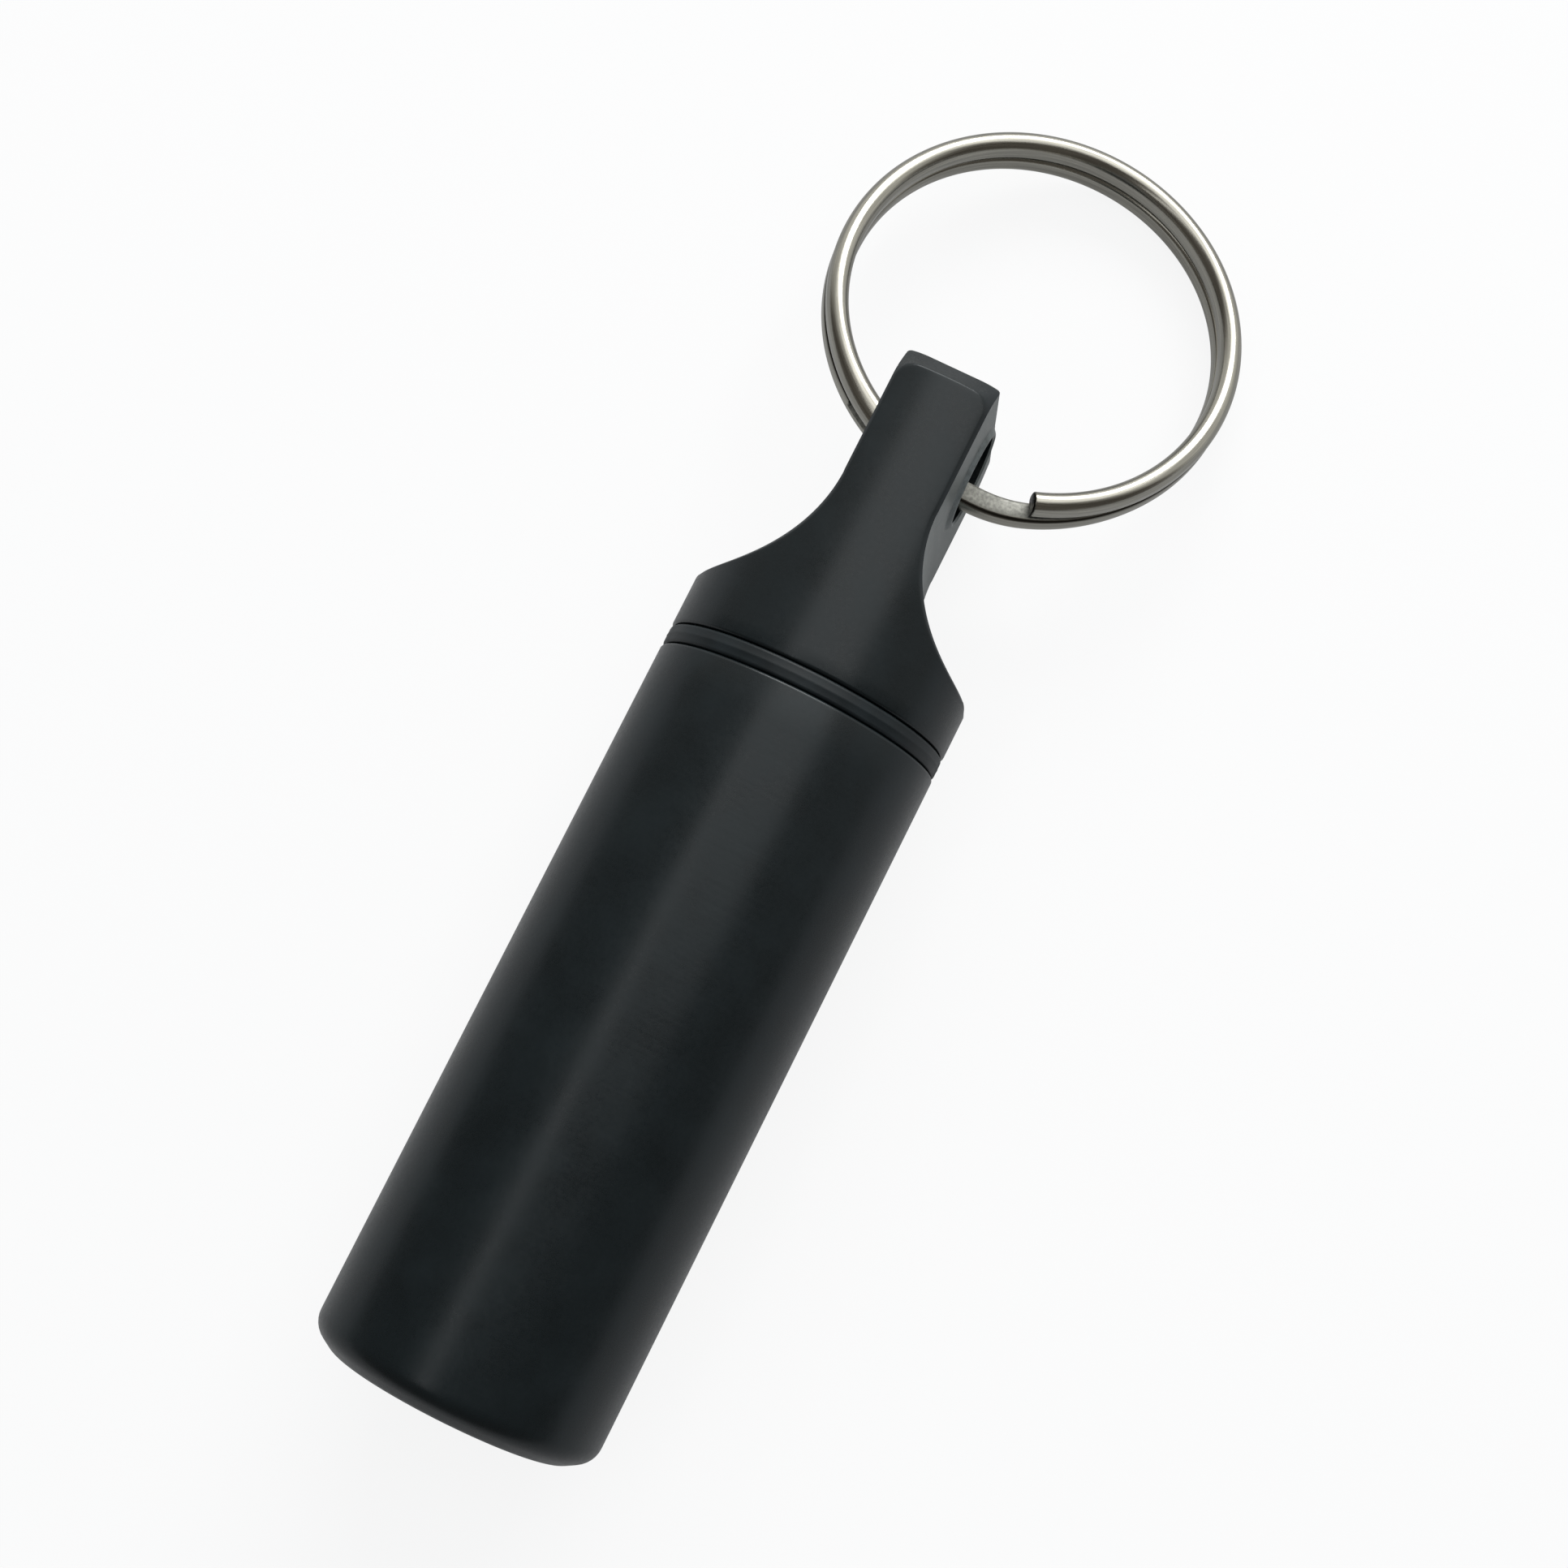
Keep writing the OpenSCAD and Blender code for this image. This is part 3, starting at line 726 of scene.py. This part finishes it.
# The wire's shape in sums: each row gives a result's name, the operation, with CLAMP where the
# result is kept between 0 and 1, and what it works on, a number or a name from above
WIRE_SUMS = (
    # Place along the wire and round it, from 0 to 1
    ("u", "ADD", "X", 0.5),
    ("v", "ADD", "Y", 0.5),
    # Rows from the nearest end: row 0 is the middle of the cut face, the next four round its edge
    ("last", "SUBTRACT", "Rows", 1.0),
    ("row", "MULTIPLY", "u", "last"),
    ("row", "ROUND", "row"),
    ("from_end", "SUBTRACT", "last", "row"),
    ("from_end", "MINIMUM", "row", "from_end"),
    ("edge", "SUBTRACT", "from_end", 1.0),
    ("edge", "DIVIDE CLAMP", "edge", END_ROWS),
    ("edge", "MULTIPLY", "edge", pi / 2),
    ("soft", "DIVIDE", "End rounding", "Wire half width"),
    ("shrink", "SINE", "edge"),
    ("shrink", "SUBTRACT", 1.0, "shrink"),
    ("shrink", "MULTIPLY", "soft", "shrink"),
    ("shrink", "SUBTRACT", 1.0, "shrink"),
    ("off_centre", "GREATER_THAN", "from_end", 0.5),
    ("shrink", "MULTIPLY", "off_centre", "shrink"),
    ("soft_turn", "DIVIDE", "End rounding", "Ring radius"),
    ("drawn_in", "COSINE", "edge"),
    ("drawn_in", "SUBTRACT", 1.0, "drawn_in"),
    ("drawn_in", "MULTIPLY", "soft_turn", "drawn_in"),
    # Angle along the wire
    ("span", "MULTIPLY_ADD", "Turn span", 2.0, "Crossing span"),
    ("span", "ADD", "span", "Overlap"),
    ("middle_rows", "SUBTRACT", "last", 2 * (END_ROWS + 1)),
    ("share", "SUBTRACT", "row", END_ROWS + 1),
    ("share", "DIVIDE CLAMP", "share", "middle_rows"),
    ("body", "MULTIPLY", "soft_turn", 2.0),
    ("body", "SUBTRACT", "span", "body"),
    ("body", "MULTIPLY", "share", "body"),
    ("body", "ADD", "soft_turn", "body"),
    ("back", "SUBTRACT", "soft_turn", "drawn_in"),
    ("end", "SUBTRACT", "share", 0.5),
    ("end", "SIGN", "end"),
    ("along", "MULTIPLY", "end", "back"),
    ("along", "ADD", "body", "along"),
    # Crossing: 1 on the upper turn, -1 on the lower, a cosine between
    ("crossing", "SUBTRACT", "along", "Turn span"),
    ("crossing", "DIVIDE CLAMP", "crossing", "Crossing span"),
    ("crossing", "MULTIPLY", "crossing", pi),
    ("crossing", "COSINE", "crossing"),
    # Section: an ellipse whose facing side is squared off, fading out within the crossing
    ("around", "MULTIPLY", "v", 2 * pi),
    ("c", "COSINE", "around"),
    ("s", "SINE", "around"),
    ("facing", "SIGN", "s"),
    ("facing", "MULTIPLY", "crossing", "facing"),
    ("facing", "MULTIPLY CLAMP", "facing", -2.5),
    ("power", "SUBTRACT", "Flat power", 2.0),
    ("power", "MULTIPLY", "facing", "power"),
    ("power", "ADD", 2.0, "power"),
    ("abs_c", "ABSOLUTE", "c"),
    ("abs_s", "ABSOLUTE", "s"),
    ("power_c", "POWER", "abs_c", "power"),
    ("power_s", "POWER", "abs_s", "power"),
    ("reach", "ADD", "power_c", "power_s"),
    ("root", "DIVIDE", -1.0, "power"),
    ("reach", "POWER", "reach", "root"),
    ("wide", "MULTIPLY", "Wire half width", "reach"),
    ("c_soft", "MULTIPLY", "c", "shrink"),
    ("wide", "MULTIPLY", "wide", "c_soft"),
    ("high", "MULTIPLY", "Wire half height", "reach"),
    ("s_soft", "MULTIPLY", "s", "shrink"),
    ("high", "MULTIPLY", "high", "s_soft"),
    # The pressed crossing spreads outwards and fades out over the joggle's span
    ("away", "DIVIDE", "Crossing span", 2.0),
    ("away", "ADD", "Turn span", "away"),
    ("away", "SUBTRACT", "along", "away"),
    ("away", "ABSOLUTE", "away"),
    ("away", "MULTIPLY", "away", 2.0),
    ("away", "DIVIDE CLAMP", "away", "Joggle span"),
    ("away", "MULTIPLY", "away", pi),
    ("swell", "COSINE", "away"),
    ("swell", "ADD", "swell", 1.0),
    ("swell", "MULTIPLY", "swell", 0.5),
    ("swell", "MULTIPLY", "swell", "Joggle"),
    ("outer", "MAXIMUM", "c", 0.0),
    ("outer", "MULTIPLY", "outer", "swell"),
    # The inner side of the lower turn gives way where the upper one ends on it
    ("past", "ADD", "Turn span", "Crossing span"),
    ("past", "SUBTRACT", "along", "past"),
    ("past", "ABSOLUTE", "past"),
    ("past", "DIVIDE CLAMP", "past", "Inset span"),
    ("past", "MULTIPLY", "past", pi),
    ("hump", "COSINE", "past"),
    ("hump", "ADD", "hump", 1.0),
    ("hump", "MULTIPLY", "hump", 0.5),
    ("hump", "MULTIPLY", "hump", "Inset"),
    ("inner", "MULTIPLY", "c", -1.0),
    ("inner", "MAXIMUM", "inner", 0.0),
    ("inner", "MULTIPLY", "inner", "hump"),
    ("spread", "ADD", "outer", "inner"),
    ("spread", "MULTIPLY", "spread", "shrink"),
    ("spread", "ADD", "wide", "spread"),
    # The last of the lower turn is ground to a slope on its outer upper side
    ("ground", "SUBTRACT", "span", "Ground length"),
    ("ground", "GREATER_THAN", "along", "ground"),
    ("over", "MULTIPLY", "high", GROUND_COS),
    ("over", "MULTIPLY_ADD", "spread", GROUND_SIN, "over"),
    ("over", "SUBTRACT", "over", "Ground height"),
    ("over", "MAXIMUM", "over", 0.0),
    ("over", "MULTIPLY", "over", "ground"),
    ("cut", "MULTIPLY", "over", GROUND_SIN),
    ("spread", "SUBTRACT", "spread", "cut"),
    ("cut", "MULTIPLY", "over", GROUND_COS),
    ("high", "SUBTRACT", "high", "cut"),
    ("radius", "ADD", "Ring radius", "spread"),
    ("azimuth", "ADD", "Wire start", "along"),
    ("x", "COSINE", "azimuth"),
    ("x", "MULTIPLY", "radius", "x"),
    ("y", "SINE", "azimuth"),
    ("y", "MULTIPLY", "radius", "y"),
    ("z", "MULTIPLY", "Turn half", "crossing"),
    ("z", "ADD", "z", "high"),
    # Marks for the material: the mating side with the ground slope, and the place along the wire
    ("mating", "MULTIPLY", "abs_s", "reach"),
    ("mating", "GREATER_THAN", "mating", SCUFFED_FROM),
    ("mating", "MULTIPLY", "facing", "mating"),
    ("is_cut", "GREATER_THAN", "over", LEAST_CUT),
    ("mating", "MAXIMUM", "mating", "is_cut"),
    ("strip", "MULTIPLY", "along", "Ring radius"),
    # Painted shade lies in the crease at the outer corner of the flattened side, where the turns meet, and on
    # the cut faces
    ("painted_shade", "SUBTRACT", "abs_s", "c"),
    ("painted_shade", "ABSOLUTE", "painted_shade"),
    ("painted_shade", "DIVIDE", "painted_shade", 0.12),
    ("painted_shade", "SUBTRACT CLAMP", 1.7, "painted_shade"),
    ("painted_shade", "MULTIPLY", "painted_shade", "facing"),
    ("not_cut", "LESS_THAN", "over", LEAST_CUT),
    ("painted_shade", "MULTIPLY", "painted_shade", "not_cut"),
    ("face", "DIVIDE", "from_end", 2.0),
    ("face", "SUBTRACT CLAMP", 2.5, "face"),
    ("painted_shade", "MAXIMUM", "painted_shade", "face"),
)
WIRE_INPUTS = (
    "Ring radius", "Wire half width", "Wire half height", "Turn half", "Turn span", "Crossing span",
    "Wire start", "Flat power", "End rounding", "Joggle", "Joggle span", "Inset", "Inset span",
    "Overlap", "Ground length", "Ground height",
)


def wire_tree():
    """Geometry Nodes: one wire wound twice round a ring, crossing from the upper to the lower turn,
    flattened where its turns face each other, with its cut ends rounded."""
    tree = bpy.data.node_groups.new("wound_wire", "GeometryNodeTree")
    sockets = [(name, "Float") for name in WIRE_INPUTS]
    for name, kind in sockets + [("Rows", "Int"), ("Sides", "Int"), ("Material", "Material")]:
        tree.interface.new_socket(name, in_out="INPUT", socket_type="NodeSocket" + kind)
    tree.interface.new_socket("Geometry", in_out="OUTPUT", socket_type="NodeSocketGeometry")
    given = add_node(tree, "NodeGroupInput").outputs
    grid = add_node(tree, "GeometryNodeMeshGrid", inputs={
        "Size X": 1.0, "Size Y": 1.0, "Vertices X": given["Rows"], "Vertices Y": given["Sides"]})
    position = add_node(tree, "GeometryNodeInputPosition").outputs[0]
    place = add_node(tree, "ShaderNodeSeparateXYZ", inputs={0: position}).outputs
    known = {name: given[name] for name in WIRE_INPUTS}
    known.update({"Rows": given["Rows"], "X": place["X"], "Y": place["Y"]})
    for name, text, *terms in WIRE_SUMS:
        operation, _, clamp = text.partition(" ")
        inputs = {i: known[term] if isinstance(term, str) else term for i, term in enumerate(terms)}
        settings = {"operation": operation, "use_clamp": bool(clamp)}
        known[name] = add_node(tree, "ShaderNodeMath", settings, inputs).outputs[0]
    strip = add_node(tree, "ShaderNodeCombineXYZ", inputs={
        0: known["strip"], 1: known["wide"], 2: known["high"]}).outputs[0]
    shape = grid.outputs["Mesh"]
    # Marks for the material, among them the painted shade
    for name, kind, mark in (("mating", "FLOAT", known["mating"]), ("wire_place", "FLOAT_VECTOR", strip),
                             ("painted_shade", "FLOAT", known["painted_shade"])):
        shape = add_node(tree, "GeometryNodeStoreNamedAttribute", {"data_type": kind, "domain": "POINT"}, {
            "Geometry": shape, "Name": name, "Value": mark}).outputs[0]
    point = add_node(tree, "ShaderNodeCombineXYZ", inputs={0: known["x"], 1: known["y"], 2: known["z"]})
    for kind, inputs in (
        ("GeometryNodeSetPosition", {"Position": point.outputs[0]}),
        ("GeometryNodeMergeByDistance", {"Distance": 1e-6}),
        ("GeometryNodeRealizeInstances", {}),
        ("GeometryNodeSetMaterial", {"Material": given["Material"]}),
        ("NodeGroupOutput", {}),
    ):
        outputs = add_node(tree, kind, inputs={"Geometry": shape, **inputs}).outputs
        shape = outputs[0] if outputs else None
    return tree


def build_ring(p, material):
    """The split ring, wound by the node tree and laid in the hole."""
    holder = bpy.data.objects.new("ring_holder", bpy.data.meshes.new("ring_holder"))
    bpy.context.scene.collection.objects.link(holder)
    modifier = holder.modifiers.new("wound_wire", "NODES")
    tree = modifier.node_group = wire_tree()
    values = {
        "Ring radius": (p.ring_d - p.wire_w) / 2, "Wire half width": p.wire_w / 2,
        "Wire half height": p.wire_h / 2, "Turn half": (p.wire_h + p.turn_gap) / 2,
        "Turn span": 2 * pi - p.crossing_span, "Crossing span": p.crossing_span,
        "Wire start": p.crossing_at + p.crossing_span / 2, "Flat power": p.flat_power,
        "End rounding": p.end_soft, "Joggle": p.joggle, "Joggle span": p.joggle_span, "Inset": p.inset,
        "Inset span": p.inset_span, "Overlap": p.overlap, "Ground length": p.ground_span,
        "Ground height": p.ground_height, "Rows": p.steps + 2 * int(END_ROWS + 1) + 1,
        "Sides": p.sides + 1, "Material": material,
    }
    for socket in tree.interface.items_tree:
        if socket.in_out == "INPUT":
            modifier[socket.identifier] = values[socket.name]
    ring = baked(holder, "wound_ring")
    turn = Matrix.Rotation(p.droop, 4, "Y") @ Matrix.Rotation(p.lean, 4, "X")
    ring.data.transform(Matrix.Translation(Vector(p.centre)) @ turn)
    clean(ring.data)
    smooth(ring.data, 50)
    return ring


# Operators


def dress(piece, body, node, material=None):
    """Gives a piece its finish and material slot, when a material is given, and its body, and hides the CAD
    part that it stands in for.
    """
    if material:
        piece.data.materials.clear()
        piece.data.materials.append(material)
    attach(piece, body)
    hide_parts(node)


class CAPSULE_OT_tube(bpy.types.Operator):
    """Turn the tube"""

    bl_idname = "capsule.tube"
    bl_label = "Tube"

    def execute(self, context):
        s = context.scene
        tube = build_tube(s.capsule_tube, s.capsule_cap.pitch)
        dress(tube, "tube_body", "body_tube",
              satin_anodising("satin_anodised_tube", s.capsule_tube.colour))
        return {"FINISHED"}


class CAPSULE_OT_seal(bpy.types.Operator):
    """Mould the seal"""

    bl_idname = "capsule.seal"
    bl_label = "Seal"

    def execute(self, context):
        s = context.scene
        seal = build_seal(s.capsule_seal, s.capsule_tube, s.capsule_cap.neck_r)
        dress(seal, "seal_body", "seal_ring",
              moulded_nitrile("moulded_nitrile", s.capsule_seal.colour))
        return {"FINISHED"}


class CAPSULE_OT_cap(bpy.types.Operator):
    """Turn, mill and drill the cap"""

    bl_idname = "capsule.cap"
    bl_label = "Cap"

    def execute(self, context):
        s, p = context.scene, context.scene.capsule_cap
        cap = build_cap(p, s.capsule_tube, s.capsule_seal)
        dress(cap, "cap_body", "cap",
              satin_anodising("satin_anodised_cap", p.colour, turning=False))
        # The milled sides take a grey with a painted sheen in it
        cap.data.materials.append(milled_anodising("milled_sides_with_painted_sheen", p.side_colour_with_painted_sheen))
        end, radius = CAP_BOX[1].x, s.capsule_tube.diameter / 2
        begin = cut_start(p, end, radius)
        for face in cap.data.polygons:
            x, y, _ = face.center
            on_lip = x > end - p.tab_l and abs(y) > p.tab_t / 2 + LIP_MARGIN
            on_side = x > begin and abs(y) > half_width(p, x, end, radius) - SIDE_MARGIN
            if on_lip or on_side and abs(face.normal.z) < SIDE_LEAN:
                face.material_index = 1
        return {"FINISHED"}


class CAPSULE_OT_ring(bpy.types.Operator):
    """Wind the split ring"""

    bl_idname = "capsule.ring"
    bl_label = "Split Ring"

    def execute(self, context):
        p = context.scene.capsule_ring
        ring = build_ring(p, bright_nickel("bright_nickel_wire", p.colour))
        dress(ring, "ring_body", "split_ring")
        return {"FINISHED"}


# Soft boxes: name, place, the point it faces, width and length, all in metres, and watts
LAMPS = (
    ("ceiling_panel", (0.31, -0.07, 0.5), (0.31, -0.07, 0), (0.485, 0.46), 0.8),
    ("strip_light", (-0.1, 0.15, 0.5), (-0.1, 0.15, 0), (0.5, 0.08), 0.19),
    ("key_softbox", (0.54, 0.06, 0.32), (0.03, 0, 0), (0.5, 0.25), 2.6),
)
# Directions along the view and towards the foot of the picture
CAMERA_FORWARD = (0.12608, 0.10109, -0.98686)
CAMERA_DOWN = (-0.88624, -0.43551, -0.15784)


def look_along(forward, down):
    """A rotation whose view runs along forward with down at the picture's foot."""
    z = -Vector(forward).normalized()
    y = -Vector(down)
    x = y.cross(z).normalized()
    y = z.cross(x)
    return Matrix((x, y, z)).transposed().to_4x4()


def add_lamp(name, at, towards, size, power):
    """A rectangular soft box at a place, turned towards a point."""
    lamp = bpy.data.lights.new(name, "AREA")
    lamp.shape = "RECTANGLE"
    lamp.size, lamp.size_y = size
    lamp.energy = power
    holder = bpy.data.objects.new(name, lamp)
    bpy.context.scene.collection.objects.link(holder)
    direction = Vector(towards) - Vector(at)
    holder.matrix_world = Matrix.Translation(at) @ direction.to_track_quat("-Z", "Y").to_matrix().to_4x4()


def add_floor(p, height):
    """Plain pale floor that keeps a soft shadow and shows pale in reflections."""
    mesh = bpy.data.meshes.new("floor")
    reach = 1.5
    corners = ((-reach, -reach), (reach, -reach), (reach, reach), (-reach, reach))
    mesh.from_pydata([(x, y, height) for x, y in corners], [], [(0, 1, 2, 3)])
    floor = bpy.data.objects.new("floor", mesh)
    bpy.context.scene.collection.objects.link(floor)
    material = bpy.data.materials.new("pale_floor")
    material.use_nodes = True
    tree = material.node_tree
    tree.nodes.clear()
    ray = add_node(tree, "ShaderNodeLightPath")
    mirrored = add_node(tree, "ShaderNodeMath", {"operation": "MAXIMUM"}, {
        0: ray.outputs["Is Glossy Ray"], 1: ray.outputs["Is Transmission Ray"]})
    # Shares of the floor that glow instead of keeping shadow: to the camera, and in reflections
    seen_glow, mirrored_glow = 0.88, 0.42
    share = add_node(tree, "ShaderNodeMath", {"operation": "MULTIPLY"}, {
        0: mirrored.outputs[0], 1: mirrored_glow})
    share = add_node(tree, "ShaderNodeMath", {"operation": "MULTIPLY_ADD"}, {
        0: ray.outputs["Is Camera Ray"], 1: seen_glow, 2: share.outputs[0]})
    tint = add_node(tree, "ShaderNodeMix", {"data_type": "RGBA"}, {
        "Factor": ray.outputs["Is Camera Ray"], 6: p.floor, 7: p.floor_seen})
    matt = add_node(tree, "ShaderNodeBsdfDiffuse", inputs={"Color": tint.outputs[2]})
    glow = add_node(tree, "ShaderNodeEmission", inputs={"Color": tint.outputs[2], "Strength": 1.0})
    mix = add_node(tree, "ShaderNodeMixShader", inputs={
        0: share.outputs[0], 1: matt.outputs[0], 2: glow.outputs[0]})
    add_node(tree, "ShaderNodeOutputMaterial", inputs={"Surface": mix.outputs[0]})
    mesh.materials.append(material)


def add_world():
    """Grey studio room, dark behind the capsule and pale ahead of it, white to the camera."""
    world = bpy.data.worlds.new("studio")
    bpy.context.scene.world = world
    world.use_nodes = True
    tree = world.node_tree
    tree.nodes.clear()
    ray = add_node(tree, "ShaderNodeLightPath")
    place = add_node(tree, "ShaderNodeTexCoord")
    # Dark where a direction leans back, pale from 24 degrees forwards, and smooth between
    way = add_node(tree, "ShaderNodeSeparateXYZ", inputs={0: place.outputs["Generated"]})
    ahead = add_node(tree, "ShaderNodeMapRange", {"interpolation_type": "SMOOTHSTEP"}, {
        "Value": way.outputs["X"], "From Min": 0.05, "From Max": 0.4})
    walls = add_node(tree, "ShaderNodeMix", {"data_type": "RGBA"}, {
        "Factor": ahead.outputs["Result"], 6: linear("605c57"), 7: linear("ecebe7")})
    fill = add_node(tree, "ShaderNodeMix", {"data_type": "RGBA"}, {
        "Factor": ray.outputs["Is Diffuse Ray"], 6: walls.outputs[2], 7: linear("70767c")})
    room = add_node(tree, "ShaderNodeBackground", inputs={"Color": fill.outputs[2], "Strength": 1.0})
    white = add_node(tree, "ShaderNodeBackground", inputs={"Color": (1, 1, 1, 1), "Strength": 1.0})
    mix = add_node(tree, "ShaderNodeMixShader", inputs={
        0: ray.outputs["Is Camera Ray"], 1: room.outputs[0], 2: white.outputs[0]})
    add_node(tree, "ShaderNodeOutputWorld", inputs={"Surface": mix.outputs[0]})


class CAPSULE_OT_stage(bpy.types.Operator):
    """Set up the floor, the lights and the camera"""

    bl_idname = "capsule.stage"
    bl_label = "Stage"

    def execute(self, context):
        p = context.scene.capsule_stage
        add_floor(p, TUBE_BOX[0].z)
        add_world()
        for lamp in LAMPS:
            add_lamp(*lamp)
        camera = bpy.data.cameras.new("camera")
        camera.lens = p.lens
        camera.sensor_width = 36
        camera.clip_start = 0.005
        holder = bpy.data.objects.new("camera", camera)
        context.scene.collection.objects.link(holder)
        holder.matrix_world = (
            Matrix.Translation(Vector(p.camera_at)) @ look_along(CAMERA_FORWARD, CAMERA_DOWN)
        )
        context.scene.camera = holder
        context.scene.view_settings.view_transform = "Standard"
        return {"FINISHED"}


class CAPSULE_PT_panel(bpy.types.Panel):
    """Sizes and colours of the capsule, and the buttons that build it"""

    bl_label = "Keychain Capsule"
    bl_idname = "CAPSULE_PT_panel"
    bl_space_type = "VIEW_3D"
    bl_region_type = "UI"
    bl_category = "Capsule"

    def draw(self, context):
        for name, operator in STEPS:
            box = self.layout.box()
            box.operator(operator)
            group = getattr(context.scene, name)
            for key in group.bl_rna.properties.keys():
                if key not in ("rna_type", "name"):
                    box.prop(group, key)


GROUPS = {
    "capsule_tube": CapsuleTube,
    "capsule_seal": CapsuleSeal,
    "capsule_cap": CapsuleCap,
    "capsule_ring": CapsuleRing,
    "capsule_stage": CapsuleStage,
}
OPERATORS = [CAPSULE_OT_tube, CAPSULE_OT_seal, CAPSULE_OT_cap, CAPSULE_OT_ring, CAPSULE_OT_stage]
STEPS = list(zip(GROUPS, (operator.bl_idname for operator in OPERATORS)))


def register():
    for item in [*GROUPS.values(), *OPERATORS, CAPSULE_PT_panel]:
        bpy.utils.register_class(item)
    for name, group in GROUPS.items():
        setattr(bpy.types.Scene, name, PointerProperty(type=group))


def unregister():
    for name in GROUPS:
        delattr(bpy.types.Scene, name)
    for item in reversed([*GROUPS.values(), *OPERATORS, CAPSULE_PT_panel]):
        bpy.utils.unregister_class(item)


def main():
    register()
    bpy.ops.capsule.tube()
    bpy.ops.capsule.seal()
    bpy.ops.capsule.cap()
    bpy.ops.capsule.ring()
    bpy.ops.capsule.stage()
    bpy.context.view_layer.update()


if __name__ == "__main__":
    main()
